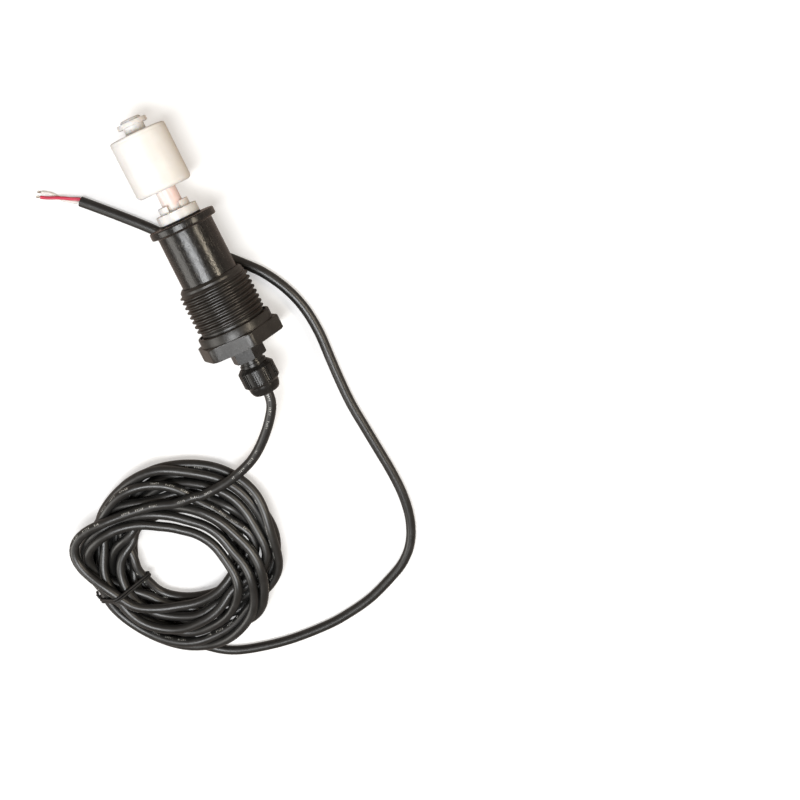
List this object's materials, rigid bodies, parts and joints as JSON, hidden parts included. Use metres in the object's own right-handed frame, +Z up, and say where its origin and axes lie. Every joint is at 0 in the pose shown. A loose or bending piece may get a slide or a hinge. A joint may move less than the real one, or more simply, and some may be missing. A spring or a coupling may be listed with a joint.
{
  "type": "level switch",
  "caption": "Vertical float level switch: float on a stem over a flanged tube, in a threaded hexagon bushing with a cable gland and a coiled two-core cable.",
  "frame": {"origin": "on the table under the middle of the switch's own length, with the switch lying on a flat of its hexagon", "axes": "+Y along the stem from the cable gland to the float, +Z up from the table, +X to the right seen from above with the float away"},
  "size_m": [0.1567, 0.2355, 0.032],
  "materials": {
    "float_white": "smooth moulded, faint satin",
    "natural_plastic": "natural translucent polymer, satin",
    "tube_black": "glossy with fine scratches along the tube",
    "bushing_black": "moulded, fine grain, semi-matte",
    "gland_grey": "moulded, satin",
    "cable_jacket": "smooth extruded jacket, satin",
    "insulation_red": "smooth satin",
    "insulation_white": "smooth satin",
    "bare_wire": "tinned strands",
    "sleeve_black": "matte",
    "seal_rubber": "matte rubber",
    "resin_dark": "cast resin",
    "ferrite": "sintered, matte",
    "glass_clear": "clear tube"
  },
  "bodies": {
    "root": {"sensor_body": "natural_plastic", "retaining_clip": "natural_plastic", "reed_capsule": "glass_clear", "reed_blades": "bare_wire", "sensor_potting": "resin_dark", "sensor_lead_red": "insulation_red", "sensor_lead_white": "insulation_white", "sensor_gasket": "seal_rubber", "fixing_nut": "natural_plastic", "housing_tube": "tube_black", "tube_seal": "seal_rubber", "threaded_bushing": "bushing_black", "splice_sleeves": "sleeve_black", "inner_core_red": "insulation_red", "inner_core_white": "insulation_white", "cable_entry": "cable_jacket", "gland_washer": "seal_rubber", "gland_body": "gland_grey", "gland_seal": "seal_rubber", "cable_lead": "cable_jacket", "cable_coil": "cable_jacket", "coil_tie": "sleeve_black", "cable_tail": "cable_jacket", "core_red": "insulation_red", "core_white": "insulation_white", "bare_ends": "bare_wire"},
    "float": {"float_shell": "float_white", "float_lid": "float_white", "float_magnet": "ferrite"},
    "gland_nut": {"gland_nut": "gland_grey"}
  },
  "joints": [
    {"name": "float_slide", "type": "slide", "parent": "root", "child": "float", "axis": [0, 1, 0], "range_m": [-0.0057, 0.0026]},
    {"name": "gland_nut_turn", "type": "hinge", "parent": "root", "child": "gland_nut", "pos_m": [0, -0.0532, 0.016], "axis": [0, -1, 0], "range_deg": [0, 540]}
  ]
}
